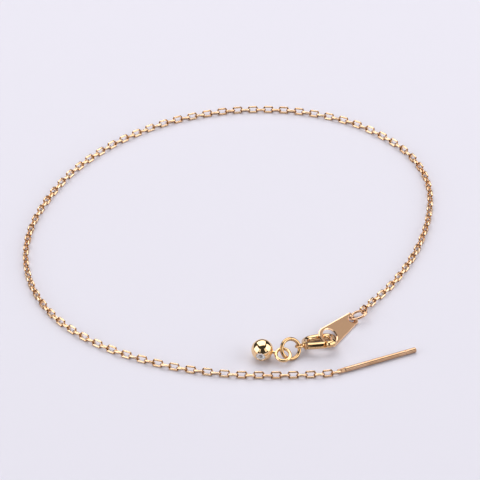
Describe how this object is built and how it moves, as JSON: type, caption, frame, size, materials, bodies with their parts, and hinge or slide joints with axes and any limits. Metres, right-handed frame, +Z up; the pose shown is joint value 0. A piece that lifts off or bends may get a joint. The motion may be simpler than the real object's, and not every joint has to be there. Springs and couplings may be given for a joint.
{
  "type": "chain anklet",
  "caption": "Fine cable chain anklet lying in an open loop, with a threader bar at one end and a lobster clasp, tag plate and slide ball on jump rings at the other.",
  "frame": {"origin": "on the surface that the anklet lies on, under the middle of the chain loop's box", "axes": "+X across the loop towards the clasp side, +Y along the loop's longer way, away from the threader bar, +Z up from the surface"},
  "size_m": [0.0803, 0.0852, 0.0041],
  "materials": {
    "chain_gold": "polished diamond-cut rose-yellow gold",
    "bar_gold": "polished rose-yellow gold",
    "ball_gold": "mirror polished yellow gold",
    "core_silicone": "soft translucent silicone",
    "ring_gold": "polished yellow gold",
    "clasp_gold": "polished cast yellow gold",
    "rivet_gold": "polished yellow gold",
    "plate_gold": "satin brushed rose gold with polished bevels",
    "oval_gold": "polished rose-yellow gold"
  },
  "bodies": {
    "anklet": {"chain": "chain_gold", "threader_bar": "bar_gold", "slide_ball": "ball_gold", "ball_core": "core_silicone", "large_ring": "ring_gold", "clasp_body": "clasp_gold", "clasp_rivet": "rivet_gold", "end_plate": "plate_gold", "oval_ring": "oval_gold"},
    "lever": {"clasp_lever": "clasp_gold"}
  },
  "joints": [
    {"name": "lever_pivot", "type": "hinge", "parent": "anklet", "child": "lever", "pos_m": [0.0144, -0.03517, 0.00192], "axis": [-0.0922, 0.3407, 0.9356], "range_deg": [0, 20], "stiffness_Nm_per_rad": 0.002, "springref_deg": -20.05}
  ]
}
